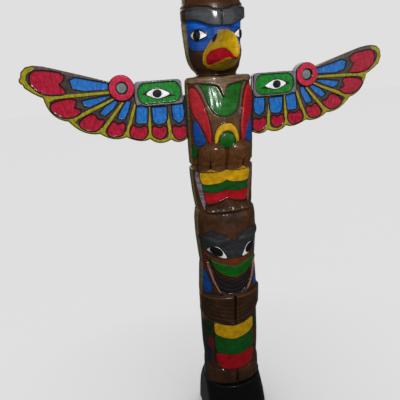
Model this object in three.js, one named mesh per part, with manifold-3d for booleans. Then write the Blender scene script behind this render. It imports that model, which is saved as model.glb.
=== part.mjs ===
// Carved and painted wooden totem pole: a spread-winged eagle above a bear, on a square black base.
// Millimetres, +Z up, the figures face -Y, the origin is on the base's underside, below the pole's axis.
import * as THREE from 'three';
import Module from 'manifold-3d';
import { mergeVertices } from 'three/addons/utils/BufferGeometryUtils.js';

// Driving sizes of the pole, and the clearance between pieces that touch
const CLEARANCE = 0.3;
const POLE_HEIGHT = 1322;
const POLE_WIDTH = 206;
const POLE_DEPTH = 176;
const BEAK_REACH = 116;

// Driving sizes of the base block: its top is a little wider than the pole that stands on it
const BASE_HEIGHT = 177.7;
const BASE_SIDE = 220;
const BASE_LEDGE = 1;
const BASE_TOP_SIDE = POLE_WIDTH + 2 * BASE_LEDGE;
const BASE_CORNER = 28;

// Driving sizes of the wing boards
const WING_SPAN = 1108;
const WING_THICKNESS = 28;
const WING_FACE = 4;
const WING_RELIEF = 4;
const RING_RADIUS = 36;
const RING_HOLE_RADIUS = 16;
const FRAME_WIDTH = 140;
const FRAME_HEIGHT = 70;
const FRAME_BORDER = 15;
const RIB_WIDTH = 8;
const KNOB_RADIUS = 10;

// The carving is drawn at this size and follows the driving sizes as shares of it
const DRAWN = { foot: 178, height: 1322, width: 206, depth: 176, beak: 116, span: 1108, wingLine: 1222 };

const clamp = (value, low = 0, high = 1) => Math.min(high, Math.max(low, value));

function smooth(from, to, value) {
  const share = clamp((value - from) / (to - from));
  return share * share * (3 - 2 * share);
}

// A value read off a list of [place, value, value ...] rows, in straight steps between them
function along(rows, place, column = 1) {
  const ordered = rows[0][0] < rows[rows.length - 1][0] ? rows : [...rows].reverse();
  if (place <= ordered[0][0]) return ordered[0][column];
  for (let i = 1; i < ordered.length; i += 1) {
    const [low, high] = [ordered[i - 1], ordered[i]];
    if (place <= high[0]) {
      const share = (place - low[0]) / (high[0] - low[0]);
      return low[column] + share * (high[column] - low[column]);
    }
  }
  return ordered[ordered.length - 1][column];
}

// Height of the pole's drawing, half width, depth in front and behind, and how far back it is widest
const SECTIONS = [
  [178, 101, 64, 101, 3], [240, 100, 66, 104, 4], [262, 97, 67, 106, 5], [321, 100, 70, 106, 5],
  [364, 101, 68, 106, 4], [418, 101, 66, 105, 4], [458, 101, 65, 104, 3], [466, 99, 66, 103, 3],
  [476, 101, 68, 103, 2], [543, 101, 79, 102, 0], [583, 99, 86, 99, 0], [626, 96, 91, 96, 0],
  [652, 93, 93, 94, 0], [675, 95, 95, 95, 0], [700, 97, 97, 96, 0], [763, 101, 98, 96, 0],
  [800, 101, 92, 96, 0], [834, 97, 84, 95, 0], [839, 92, 74, 92, 2], [842, 94, 46, 92, 2],
  [890, 99, 40, 106, 8], [970, 103, 44, 110, 10], [975, 96, 44, 102, 8], [984, 96, 46, 102, 7],
  [990, 102, 50, 106, 6], [1040, 103, 66, 106, 6], [1066, 103, 70, 106, 6], [1147, 102, 64, 106, 5],
  [1200, 101, 52, 105, 5], [1238, 99, 42, 103, 5], [1246, 93, 40, 98, 6], [1250, 60, 34, 80, 12],
  [1273, 74, 48, 92, 18], [1310, 84, 60, 108, 22], [1400, 90, 64, 116, 25], [1438, 90, 62, 115, 25],
  [1446, 85, 58, 110, 24], [1475, 83, 54, 108, 24], [1492, 74, 46, 98, 22], [1500, 55, 30, 80, 20],
];

// Outlines of the carved forms: half widths at heights, or heights at distances from the middle
const BROW_TOP = [[0, 1418], [21, 1421], [33, 1427], [64, 1432], [84, 1430]];
const BROW_LOW = [[0, 1380], [20, 1380], [38, 1384], [50, 1391], [66, 1398], [84, 1401]];
const COLLAR_LOW = [[0, 1190], [3, 1192], [10, 1217], [17, 1222], [37, 1226], [69, 1230], [90, 1230]];
const BIB_SIDE = [[1131, 0], [1133, 12], [1140, 30], [1150, 40], [1177, 49], [1205, 55], [1230, 66]];
const STRIPE_IN = [[1062, 46], [1112, 47], [1146, 53], [1178, 60], [1204, 70], [1218, 80]];
const STRIPE_OUT = [[1062, 55], [1086, 62], [1113, 73], [1140, 87], [1165, 92], [1218, 95]];
const TAIL_SIDE = [[841, 68], [874, 68], [913, 73], [965, 83]];
const MUZZLE_TOP = [[0, 658], [23, 667], [46, 673], [70, 682]];
const MUZZLE_LOW = [[0, 617], [18, 621], [42, 632], [59, 648], [71, 680]];
const LIP_SIDE = [[546, 26], [563, 48], [604, 65], [635, 72], [661, 78], [672, 83]];
const ARM_LOW = [[0, 428], [9, 431], [46, 440], [70, 450], [95, 472]];
const BELLY_SIDE = [[240, 40], [262, 64], [300, 69], [435, 69]];

// The beak at its heights: half width where it leaves the face, and depth of its ridge
const BEAK = [
  [1260, 20, 44], [1264, 33, 62], [1269, 44, 88], [1276, 51, 118], [1284, 56, 154], [1293, 57, 184],
  [1304, 57, 192], [1320, 52, 192], [1336, 41, 184], [1351, 28, 164], [1361, 17, 136], [1366, 10, 108],
  [1370, 4, 70],
];
const MOUTH = [[0, 1290, 3], [8, 1294, 5], [15, 1303, 8], [27, 1304, 14], [40, 1295, 16], [47, 1296, 6]];

// A round-topped swelling, 1 in its middle and 0 at its edge
function dome(across, up) {
  return Math.sqrt(Math.max(0, 1 - across * across - up * up));
}

// 1 inside the band from low to high and 0 outside, over a short edge
function band(low, high, value, edge = 3) {
  return smooth(low - edge, low + edge, value) * (1 - smooth(high - edge, high + edge, value));
}

function headRelief(x, z) {
  const brow = band(along(BROW_LOW, x), along(BROW_TOP, x), z, 4);
  const browGroove = brow * (1 - smooth(2, 9, x));
  const socket = band(1322, along(BROW_LOW, x) - 4, z, 6) * smooth(20, 34, x);
  const eye = dome((x - 60) / 21, (z - 1358) / 17);
  return 7 * brow - 4 * browGroove - 5 * socket + 4 * eye;
}

function bodyRelief(x, z) {
  const collar = smooth(-3, 3, z - along(COLLAR_LOW, x)) * (z < 1247 ? 1 : 0);
  const bib = (z > 1131 ? 1 : 0) * (1 - smooth(-3, 3, x - along(BIB_SIDE, z))) * (1 - collar);
  const stripe = band(along(STRIPE_IN, z), along(STRIPE_OUT, z), x, 5) * band(1060, 1222, z, 4);
  const ring = Math.hypot(x / 36, (z - 1058) / 54);
  const arch = band(0.74, 1, ring, 0.06) * (z > 1054 ? 1 : 0);
  const mound = dome(x / 25, (z - 1064) / 26);
  return 4 * collar - 5 * bib + 6 * stripe + 4 * arch + 6 * mound;
}

function kneeRelief(x, z) {
  const across = (x - 43) / 41;
  const up = z > 1020 ? (z - 1020) / 40 : 0;
  const knee = Math.pow(clamp(1 - Math.abs(across) ** 2.4 - up * up), 0.5) * (z > 968 ? 1 : 0);
  const toeNotch = (1 - smooth(2, 8, Math.abs(x - 48))) * (1 - smooth(976, 990, z));
  return knee * (17 - 7 * toeNotch);
}

function tailRelief(x, z) {
  const facet = 1 - smooth(-2, 4, x - along(TAIL_SIDE, z));
  const toe = Math.abs(Math.sin((x / 34) * Math.PI));
  const toes = (1 - smooth(842, 890, z)) * (1 - smooth(58, 72, x));
  return 4 * facet + toes * (19 + 5 * toe);
}

function bearRelief(x, z) {
  const eyeLine = 693 + (x - 26) * 0.62;
  const eye = dome((x - 52) / 27, (z - eyeLine - 6) / 16);
  const browRidge = band(735, 752, z - Math.abs(x - 50) * 0.25, 8) * smooth(4, 20, x);
  const muzzle = band(along(MUZZLE_LOW, x), along(MUZZLE_TOP, x), z, 4) * (1 - smooth(68, 76, x));
  const inMouth = (1 - smooth(-12, 2, x - along(LIP_SIDE, z))) * band(550, along(MUZZLE_LOW, x), z, 8);
  const lip = (1 - smooth(3, 13, Math.abs(x - along(LIP_SIDE, z)))) * band(550, 668, z, 8);
  return 4 * eye + 4 * browRidge + 5 * muzzle - 8 * inMouth + 4 * lip;
}

function armRelief(x, z) {
  const low = along(ARM_LOW, x);
  const arm = smooth(-4, 3, z - low) * smooth(548, 538, z);
  const finger = Math.abs(Math.sin(((z - low) / 26) * Math.PI));
  const palmGap = 1 - smooth(3, 14, x);
  return arm * (7 + 4 * finger * (1 - smooth(70, 90, x)) - 14 * palmGap);
}

function legRelief(x, z) {
  const belly = band(240, 437, z, 5) * (1 - smooth(-2, 4, x - along(BELLY_SIDE, z)));
  const groove = band(240, 430, z, 8) * (1 - smooth(2, 11, Math.abs(x - along(BELLY_SIDE, z) - 5)));
  const foot = smooth(246, 232, z) * smooth(2, 7, x) * (1 - smooth(74, 92, x));
  const toes = Math.abs(Math.sin(((x - 2) / 24) * Math.PI));
  const rim = 1 - smooth(182, 186, z);
  return 4 * belly - 7 * groove + foot * (3 + 5 * toes) * (1 - rim) + 3 * rim;
}

// How far the carving stands out of the plain section, at a distance from the middle and a height
function relief(x, z) {
  if (z > 1256) return headRelief(x, z);
  if (z > 1059) return bodyRelief(x, z);
  if (z > 966) return Math.max(bodyRelief(x, z), kneeRelief(x, z));
  if (z > 841) return tailRelief(x, z);
  if (z > 548) return bearRelief(x, z);
  if (z > 436) return armRelief(x, z);
  return legRelief(x, z) + armRelief(x, z) * (z > along(ARM_LOW, x) - 4 ? 1 : 0);
}

function beakDepth(x, z) {
  if (z < BEAK[0][0] || z > BEAK[BEAK.length - 1][0]) return -Infinity;
  const reach = along(BEAK, z, 1);
  if (x > reach) return -Infinity;
  const root = 0.45 * along(SECTIONS, z, 2);
  const ridge = root + (along(BEAK, z, 2) - root) * (BEAK_REACH / DRAWN.beak);
  const mouth = band(-1, 1, (z - along(MOUTH, x)) / along(MOUTH, x, 2), 0.25);
  return root + (ridge - root) * (1 - (x / reach) ** 1.5) - 6 * mouth * smooth(0, 20, x);
}

// A height of the drawing as a height of the pole that stands on the base
function poleHeight(z) {
  return BASE_HEIGHT + CLEARANCE + (z - DRAWN.foot) * (POLE_HEIGHT / DRAWN.height);
}

// A point of the carved surface, at an angle round the pole from the front and a height of the drawing
function polePoint(angle, z, grow) {
  const [halfWidth, front, back, widest] = [1, 2, 3, 4].map((column) => along(SECTIONS, z, column));
  const facing = Math.cos(angle);
  const depth = facing > 0 ? front + widest : back - widest;
  const flatX = halfWidth * Math.sin(angle);
  const normal = new THREE.Vector2(Math.sin(angle) / halfWidth, facing / depth).normalize();
  const raised = grow + (facing > 0 ? relief(Math.abs(flatX), z) * smooth(0, 0.2, facing) : 0);
  const x = flatX + normal.x * raised;
  let forward = facing * depth - widest + normal.y * raised;
  if (facing > 0) forward = Math.max(forward, beakDepth(Math.abs(flatX), z) + grow);
  return new THREE.Vector3(
    x * (POLE_WIDTH / DRAWN.width),
    -forward * (POLE_DEPTH / DRAWN.depth),
    poleHeight(z),
  );
}

// Heights of the carving's rings: even steps, with close pairs at the ledges
function ringHeights() {
  const heights = new Set();
  const stretches = [
    [178, 186, 2], [200, 428, 9], [438, 546, 10], [556, 700, 11], [715, 830, 4], [834, 842, 3],
    [852, 960, 6], [966, 975, 3], [984, 1060, 7], [1072, 1236, 11], [1243, 1250, 3], [1262, 1371, 13],
    [1379, 1438, 5], [1446, 1500, 4],
  ];
  for (const [low, high, count] of stretches) {
    for (let i = 0; i < count; i += 1) heights.add(low + ((high - low) * i) / (count - 1));
  }
  return [...heights].sort((a, b) => a - b);
}

// Angles of the ring's points: close together over the carved front, wide over the plain back
function ringAngles() {
  const [frontSteps, backSteps] = [32, 10];
  const angles = [];
  for (let i = 0; i < frontSteps; i += 1) {
    const share = (2 * i) / frontSteps - 1;
    angles.push(0.6 * Math.asin(share) + 0.4 * share * (Math.PI / 2));
  }
  for (let i = 0; i < backSteps; i += 1) angles.push(Math.PI / 2 + (Math.PI * i) / backSteps);
  return angles;
}

// A closed skin over a stack of rings that all have the same number of points
function skin(rings) {
  const count = rings[0].length;
  const positions = rings.flat().flatMap((point) => point.toArray());
  const index = [];
  for (let level = 0; level + 1 < rings.length; level += 1) {
    for (let i = 0; i < count; i += 1) {
      const next = (i + 1) % count;
      const [a, b] = [level * count + i, level * count + next];
      index.push(a, b, b + count, a, b + count, a + count);
    }
  }
  for (const [level, turned] of [[0, true], [rings.length - 1, false]]) {
    const outline = rings[level].map((point) => new THREE.Vector2(point.x, point.y));
    for (const [a, b, c] of THREE.ShapeUtils.triangulateShape(outline, [])) {
      const [first, second, third] = [a, b, c].map((i) => level * count + i);
      index.push(...(turned ? [first, third, second] : [first, second, third]));
    }
  }
  const geometry = new THREE.BufferGeometry();
  geometry.setAttribute('position', new THREE.Float32BufferAttribute(positions, 3));
  geometry.setIndex(index);
  return geometry;
}

function poleGeometry(grow = 0) {
  const angles = ringAngles();
  return skin(ringHeights().map((z) => angles.map((angle) => polePoint(angle, z, grow))));
}

// The base: a square block whose corners melt into the pole's round at its shoulder, centred under the foot
function baseGeometry() {
  const [, , footFront, footBack] = SECTIONS[0];
  const setback = ((footBack - footFront) / 2) * (POLE_DEPTH / DRAWN.depth);
  const sideSteps = 3;
  const cornerSteps = 5;
  const topRadius = BASE_TOP_SIDE / 2;
  const rings = [[0, 1], [0.35, 0.9], [0.62, 0.7], [0.8, 0.42], [0.93, 0.14], [1, 0]];
  return skin(rings.map(([level, square]) => {
    const half = THREE.MathUtils.lerp(BASE_SIDE, BASE_TOP_SIDE, level) / 2;
    const corner = THREE.MathUtils.lerp(topRadius, BASE_CORNER, square);
    const points = [];
    for (let quarter = 0; quarter < 4; quarter += 1) {
      const turn = (quarter * Math.PI) / 2;
      for (let i = 0; i < cornerSteps + sideSteps; i += 1) {
        const onCorner = i <= cornerSteps;
        const sweep = onCorner ? (i / cornerSteps) * (Math.PI / 2) : Math.PI / 2;
        const slide = onCorner ? 0 : (i - cornerSteps) / sideSteps;
        const x = half - corner + corner * Math.cos(sweep) - slide * 2 * (half - corner);
        const y = half - corner + corner * Math.sin(sweep);
        points.push(new THREE.Vector3(
          x * Math.cos(turn) - y * Math.sin(turn),
          x * Math.sin(turn) + y * Math.cos(turn) + setback,
          level * BASE_HEIGHT,
        ));
      }
    }
    return points;
  }));
}

// Wing drawing, right wing, as distance out from the pole's middle and height
const RING_CENTRE = new THREE.Vector2(287, 1232);
const FRAME_CENTRE = new THREE.Vector2(182, 1211);
const KNOB_CENTRE = new THREE.Vector2(547, 1269);
const VALLEYS = [[502, 1220], [445, 1151], [363, 1108], [289, 1091], [220, 1079], [156, 1071], [96, 1076]];
const SCALLOPS = [[495, 1161], [412, 1105], [328, 1079], [246, 1066], [192, 1052], [130, 1048]];
const RIB_ROOTS = [[318, 1222], [311, 1203], [289, 1190], [252, 1188], [215, 1174], [164, 1171]];
const WING_TOP = [[318, 1251], [395, 1275], [455, 1293], [515, 1307], [534, 1304], [548, 1292], [553, 1272],
  [546, 1250], [528, 1235]];

// A point of the wing drawing, kept at its place beside the pole's flank when the sizes change
function placed([x, z]) {
  const stretch = (WING_SPAN - POLE_WIDTH) / (DRAWN.span - DRAWN.width);
  return new THREE.Vector2(
    POLE_WIDTH / 2 + (x - DRAWN.width / 2) * stretch,
    poleHeight(DRAWN.wingLine) + z - DRAWN.wingLine,
  );
}

// A wing form pushed back from its face by a depth, as a closed mesh standing in the pole's frame
function board(shape, front, depth) {
  const geometry = new THREE.ExtrudeGeometry(shape, { depth, bevelEnabled: false, curveSegments: 4 });
  geometry.rotateX(Math.PI / 2);
  return geometry.translate(0, front + depth, 0);
}

function wingOutline() {
  const shape = new THREE.Shape();
  const root = 80;
  const start = placed([root, VALLEYS[VALLEYS.length - 1][1]]);
  shape.moveTo(start.x, start.y);
  for (let i = VALLEYS.length - 1; i > 0; i -= 1) {
    const from = placed(VALLEYS[i]);
    const to = placed(VALLEYS[i - 1]);
    const dip = placed(SCALLOPS[i - 1]);
    shape.lineTo(from.x, from.y);
    shape.quadraticCurveTo(dip.x, dip.y, to.x, to.y);
  }
  shape.splineThru([...WING_TOP].reverse().map(placed));
  const bridge = [[287, 1240], [250, 1236], [120, 1236], [112, 1198], [root, 1198]];
  for (const point of bridge.map(placed)) shape.lineTo(point.x, point.y);
  shape.closePath();
  return shape;
}

function roundedFrame(width, height, corner) {
  const { x, y } = placed(FRAME_CENTRE.toArray());
  const [left, right, low, high] = [x - width / 2, x + width / 2, y - height / 2, y + height / 2];
  const shape = new THREE.Shape();
  shape.moveTo(left + corner, low);
  shape.lineTo(right - corner, low);
  shape.quadraticCurveTo(right, low, right, low + corner);
  shape.lineTo(right, high - corner);
  shape.quadraticCurveTo(right, high, right - corner, high);
  shape.lineTo(left + corner, high);
  shape.quadraticCurveTo(left, high, left, high - corner);
  shape.lineTo(left, low + corner);
  shape.quadraticCurveTo(left, low, left + corner, low);
  return shape;
}

function disc(centre, radius) {
  const { x, y } = placed(centre.toArray());
  return new THREE.Shape().absarc(x, y, radius, 0, 2 * Math.PI);
}

// A rib: a slim wedge from the ring or the frame out to the notch between two feathers
function rib(rootPoint, endPoint) {
  const [root, end] = [placed(rootPoint), placed(endPoint)];
  const across = end.clone().sub(root).normalize().rotateAround(new THREE.Vector2(), Math.PI / 2);
  const corners = [[root, -0.3], [end, -0.8], [end, 0.8], [root, 0.3]].map(([point, share]) =>
    point.clone().addScaledVector(across, share * RIB_WIDTH));
  return new THREE.Shape(corners);
}

const wasm = await Module();
wasm.setup();

function solid(geometry) {
  const bare = geometry.clone();
  bare.deleteAttribute('normal');
  bare.deleteAttribute('uv');
  const merged = mergeVertices(bare, 1e-4);
  return new wasm.Manifold(new wasm.Mesh({
    numProp: 3,
    vertProperties: new Float32Array(merged.attributes.position.array),
    triVerts: new Uint32Array(merged.index.array),
  }));
}

function geometryOf(body) {
  const mesh = body.getMesh();
  const geometry = new THREE.BufferGeometry();
  geometry.setAttribute('position', new THREE.BufferAttribute(new Float32Array(mesh.vertProperties), 3));
  geometry.setIndex(new THREE.BufferAttribute(new Uint32Array(mesh.triVerts), 1));
  return geometry;
}

// One wing: the feathered board, with its eye panel, ring and ribs standing out of its face. The left
// wing's tip ends in a small knob.
function wingGeometry(side) {
  const sunk = 2;
  const raised = (shape, height) => solid(board(shape, -WING_FACE - height, height + sunk));
  let wing = solid(board(wingOutline(), -WING_FACE, WING_THICKNESS));
  if (side < 0) wing = wing.add(solid(board(disc(KNOB_CENTRE, KNOB_RADIUS), -WING_FACE, WING_THICKNESS)));
  wing = wing.add(solid(board(roundedFrame(FRAME_WIDTH, FRAME_HEIGHT, 16), -WING_FACE - WING_RELIEF,
    WING_THICKNESS + WING_RELIEF)));
  wing = wing.add(solid(board(disc(RING_CENTRE, RING_RADIUS), -WING_FACE - 2 * WING_RELIEF,
    WING_THICKNESS + 2 * WING_RELIEF)));
  const field = roundedFrame(FRAME_WIDTH - 2 * FRAME_BORDER, FRAME_HEIGHT - FRAME_BORDER, 22);
  wing = wing.subtract(raised(field, 2 * WING_RELIEF).translate(0, -sunk, 0));
  wing = wing.subtract(solid(board(disc(RING_CENTRE, RING_HOLE_RADIUS), -WING_FACE - 3 * WING_RELIEF, 1.8 * WING_RELIEF)));
  RIB_ROOTS.forEach((root, i) => {
    wing = wing.add(raised(rib(root, VALLEYS[i]), WING_RELIEF / 2));
  });
  if (side < 0) wing = wing.mirror([1, 0, 0]);
  return geometryOf(wing.subtract(solid(poleGeometry(CLEARANCE))));
}

const stainedWood = new THREE.MeshStandardMaterial({ color: '#5b3a22', roughness: 0.38, metalness: 0 });
const paintedWing = new THREE.MeshStandardMaterial({ color: '#a31f2c', roughness: 0.42, metalness: 0 });
const blackGloss = new THREE.MeshStandardMaterial({ color: '#0d0d0e', roughness: 0.22, metalness: 0 });

const totem = new THREE.Group();

function piece(name, geometry, material) {
  const mesh = new THREE.Mesh(geometry, material);
  mesh.name = name;
  totem.add(mesh);
}

piece('base', baseGeometry(), blackGloss);
piece('pole', poleGeometry(), stainedWood);
piece('left_wing', wingGeometry(-1), paintedWing);
piece('right_wing', wingGeometry(1), paintedWing);

export default totem;
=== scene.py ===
"""Carved and painted wooden totem pole: a spread-winged eagle above a bear, on a gloss black block."""
import math

import bpy
import numpy as np
from mathutils import Matrix, Vector


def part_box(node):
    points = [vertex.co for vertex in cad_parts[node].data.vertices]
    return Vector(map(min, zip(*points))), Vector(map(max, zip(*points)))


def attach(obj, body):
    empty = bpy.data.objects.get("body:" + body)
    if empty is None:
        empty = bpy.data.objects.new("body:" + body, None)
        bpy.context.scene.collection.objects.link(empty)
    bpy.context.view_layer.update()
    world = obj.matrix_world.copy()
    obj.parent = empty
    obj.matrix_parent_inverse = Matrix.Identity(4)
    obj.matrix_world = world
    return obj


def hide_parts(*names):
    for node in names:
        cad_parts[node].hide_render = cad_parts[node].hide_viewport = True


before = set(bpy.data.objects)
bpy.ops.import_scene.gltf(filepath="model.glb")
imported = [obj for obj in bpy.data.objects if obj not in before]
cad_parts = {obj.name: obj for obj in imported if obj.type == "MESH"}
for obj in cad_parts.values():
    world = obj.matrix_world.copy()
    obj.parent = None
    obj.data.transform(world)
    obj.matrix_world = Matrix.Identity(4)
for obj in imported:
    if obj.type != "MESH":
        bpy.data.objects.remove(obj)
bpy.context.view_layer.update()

# The photographer's camera: held at a standing person's height a step in front of the pole and to its left,
# looking down on it and turned a little.
CAMERA_PLACE = Vector((-0.356, -1.237, 1.276))
CAMERA_HEADING, CAMERA_PITCH, CAMERA_ROLL = (math.radians(turn) for turn in (77.39, -17.91, -3.824))
CAMERA_LENS_MM = 37.09

aim = Vector((
    math.cos(CAMERA_HEADING) * math.cos(CAMERA_PITCH),
    math.sin(CAMERA_HEADING) * math.cos(CAMERA_PITCH),
    math.sin(CAMERA_PITCH),
))
level = aim.cross(Vector((0, 0, 1))).normalized()
upright = level.cross(aim)
across = math.cos(CAMERA_ROLL) * level + math.sin(CAMERA_ROLL) * upright
upward = math.cos(CAMERA_ROLL) * upright - math.sin(CAMERA_ROLL) * level
camera_lens = bpy.data.cameras.new("camera")
camera_lens.lens = CAMERA_LENS_MM
camera_lens.sensor_width = 36
camera = bpy.data.objects.new("camera", camera_lens)
camera.matrix_world = Matrix.Translation(CAMERA_PLACE) @ Matrix((across, upward, -aim)).transposed().to_4x4()
bpy.context.scene.collection.objects.link(camera)
bpy.context.scene.camera = camera

# The studio: a pale room and one soft light above the camera, which gives the varnish its small bright spots,
# with weaker ones at both sides and behind, all kept off the floor. A wide light overhead falls on the floor
# alone and keeps it even.
STUDIO_TONE = "#e0e0e0"
ROOM_GLOW = 0.16
OVERHEAD_STRENGTH, OVERHEAD_SPREAD = 3.05, math.radians(60)
floor_lights = bpy.data.collections.new("lit_by_the_overhead_light")
floor_shade = bpy.data.collections.new("shaded_from_the_soft_lights")


def linear(hex_colour):
    """A colour given as sRGB hex, as the linear red, green, blue and alpha that shaders use."""
    shares = [int(hex_colour[i:i + 2], 16) / 255 for i in (1, 3, 5)]
    return [s / 12.92 if s <= 0.04045 else ((s + 0.055) / 1.055) ** 2.4 for s in shares] + [1.0]


def soft_light(name, place, target, width, watts):
    """A soft lamp, wider than high, that lights everything but the floor."""
    lamp = bpy.data.lights.new(name, "AREA")
    lamp.shape = "RECTANGLE"
    lamp.size, lamp.size_y = width, width * 0.7
    lamp.energy = watts
    holder = bpy.data.objects.new(name, lamp)
    holder.location = place
    holder.rotation_euler = (Vector(target) - Vector(place)).to_track_quat("-Z", "Y").to_euler()
    holder.light_linking.receiver_collection = floor_shade
    bpy.context.scene.collection.objects.link(holder)


# Each lamp's place, what it points at, its width in metres and its watts
soft_light("key_light", (-0.06, -1.45, 1.7), (0, 0, 1.15), 0.3, 27)
soft_light("left_light", (-1.5, -0.9, 1.55), (0, 0, 1.3), 1.5, 5.5)
soft_light("right_light", (1.7, -1.6, 1.3), (0, 0, 0.9), 1.4, 7)
soft_light("back_light", (0.3, 1.9, 1.9), (0, 0, 1.0), 1.8, 20)
overhead = bpy.data.lights.new("overhead_light", "SUN")
overhead.energy = OVERHEAD_STRENGTH
overhead.angle = OVERHEAD_SPREAD
overhead_lamp = bpy.data.objects.new("overhead_light", overhead)
overhead_lamp.light_linking.receiver_collection = floor_lights
bpy.context.scene.collection.objects.link(overhead_lamp)

room = bpy.data.worlds.new("pale_room")
room.use_nodes = True
room_nodes, room_links = room.node_tree.nodes, room.node_tree.links
seen_wall, lit_wall = room_nodes["Background"], room_nodes.new("ShaderNodeBackground")
for wall, strength in ((seen_wall, 1.0), (lit_wall, ROOM_GLOW)):
    wall.inputs["Color"].default_value = linear(STUDIO_TONE)
    wall.inputs["Strength"].default_value = strength
wall_choice = room_nodes.new("ShaderNodeMixShader")
room_links.new(room_nodes.new("ShaderNodeLightPath").outputs["Is Camera Ray"], wall_choice.inputs[0])
room_links.new(lit_wall.outputs[0], wall_choice.inputs[1])
room_links.new(seen_wall.outputs[0], wall_choice.inputs[2])
room_links.new(wall_choice.outputs[0], room_nodes["World Output"].inputs["Surface"])
bpy.context.scene.world = room
bpy.context.scene.view_settings.view_transform = "Standard"

# The floor: smooth pale plaster, trowelled and left bare and matt, wide enough to reach past every view. The
# camera sees it, but it throws no light or reflection on the pole, which would veil the dark paint.
FLOOR_HALF_SIDE = 14.0
FLOOR_CELLS = 8
PLASTER_CLOUDS_PER_METRE = 3.0


def new_material(name):
    """A new material and its main shader."""
    material = bpy.data.materials.new(name)
    material.use_nodes = True
    return material, material.node_tree.nodes["Principled BSDF"]


def add_node(material, kind, settings=None, links=None):
    """Adds a node: settings are its own properties or its inputs' values, links are its inputs' sources."""
    made = material.node_tree.nodes.new(kind)
    for key, value in (settings or {}).items():
        if isinstance(key, str) and hasattr(made, key):
            setattr(made, key, value)
        else:
            made.inputs[key].default_value = value
    for key, source in (links or {}).items():
        material.node_tree.links.new(source, made.inputs[key])
    return made


floor_mesh = bpy.data.meshes.new("studio_floor")
row_length = FLOOR_CELLS + 1
floor_steps = np.linspace(-FLOOR_HALF_SIDE, FLOOR_HALF_SIDE, row_length)
cell_corners = [row * row_length + cell for row in range(FLOOR_CELLS) for cell in range(FLOOR_CELLS)]
floor_mesh.from_pydata(
    [(x, y, 0.0) for y in floor_steps for x in floor_steps], [],
    [(first, first + 1, first + row_length + 1, first + row_length) for first in cell_corners],
)
plaster, plaster_shader = new_material("pale_plaster_floor")
plaster_shader.inputs["Roughness"].default_value = 0.9
plaster_cloud = add_node(plaster, "ShaderNodeTexNoise", {"Scale": PLASTER_CLOUDS_PER_METRE, "Detail": 4.0})
plaster_mix = add_node(plaster, "ShaderNodeMix",
                       {"data_type": "RGBA", 6: linear("#d6d6d6"), 7: linear("#dadada")},
                       {0: plaster_cloud.outputs["Fac"]})
plaster.node_tree.links.new(plaster_mix.outputs[2], plaster_shader.inputs["Base Color"])
floor_mesh.materials.append(plaster)
studio_floor = bpy.data.objects.new("studio_floor", floor_mesh)
bpy.context.scene.collection.objects.link(studio_floor)
floor_lights.objects.link(studio_floor)
floor_shade.objects.link(studio_floor)
floor_shade.collection_objects[0].light_linking.link_state = "EXCLUDE"
studio_floor.visible_glossy = False
studio_floor.visible_diffuse = False

# The base: a solid block of softwood, sawn square at the foot and rounded off to the trunk at its shoulder,
# brushed with thick gloss black enamel. The trunk is glued and screwed down on it. Sizes are in millimetres.
BASE_HEIGHT = 177.7
BASE_SIDE = 220.0
BASE_TOP_SIDE = 208.0
BASE_CORNER = 28.0
BASE_EDGE_ROUND = 3.0
# How square the block still is, from 1 to 0, at shares of its height
BASE_SQUARENESS = ([0, 0.35, 0.62, 0.8, 0.93, 1], [1, 0.9, 0.7, 0.42, 0.14, 0])
BASE_LEVELS = 60
CORNER_STEPS, SIDE_STEPS = 28, 20
PLANE_MARK_DEPTH, PLANE_MARK_LENGTH, PLANE_MARKS_PER_RADIAN = 0.35, 45, 7
MM = 0.001


def smooth(low, high, value):
    """From 0 at low to 1 at high along an S-shaped curve."""
    share = np.clip((value - low) / (high - low), 0.0, 1.0)
    return share * share * (3 - 2 * share)


def hand_noise(across_cells, along_cells, seed):
    """Smooth random values from -1 to 1 over a lattice of unit cells, as a hand tool leaves them."""
    cell_a, cell_b = np.floor(across_cells), np.floor(along_cells)
    share_a, share_b = smooth(0, 1, across_cells - cell_a), smooth(0, 1, along_cells - cell_b)

    def corner(a, b):
        value = np.sin(a * 127.1 + b * 311.7 + seed * 74.7) * 43758.5453
        return 2 * (value - np.floor(value)) - 1

    low = corner(cell_a, cell_b) * (1 - share_a) + corner(cell_a + 1, cell_b) * share_a
    high = corner(cell_a, cell_b + 1) * (1 - share_a) + corner(cell_a + 1, cell_b + 1) * share_a
    return low * (1 - share_b) + high * share_b


def carved_piece(name, points, faces, paints):
    """A smooth piece from points in millimetres and faces, each point told how deep it lies in each paint."""
    mesh = bpy.data.meshes.new(name)
    mesh.from_pydata((points.reshape(-1, 3) * MM).tolist(), [], faces)
    mesh.polygons.foreach_set("use_smooth", [True] * len(faces))
    for paint, depth in paints.items():
        painted = mesh.attributes.new(paint, "FLOAT", "POINT")
        painted.data.foreach_set("value", depth.reshape(-1).astype(np.float32))
    mesh.update()
    made = bpy.data.objects.new(name, mesh)
    bpy.context.scene.collection.objects.link(made)
    return made


def closed_skin(name, points, paints):
    """A closed piece over rings of points, given as an array of rings by points by x, y, z."""
    ring_count, point_count = points.shape[:2]
    index = np.arange(ring_count * point_count).reshape(ring_count, point_count)
    turned = np.roll(index, -1, axis=1)
    quads = np.stack([index[:-1], turned[:-1], turned[1:], index[1:]], axis=-1).reshape(-1, 4)
    return carved_piece(name, points, quads.tolist() + [index[0][::-1].tolist(), index[-1].tolist()], paints)


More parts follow.
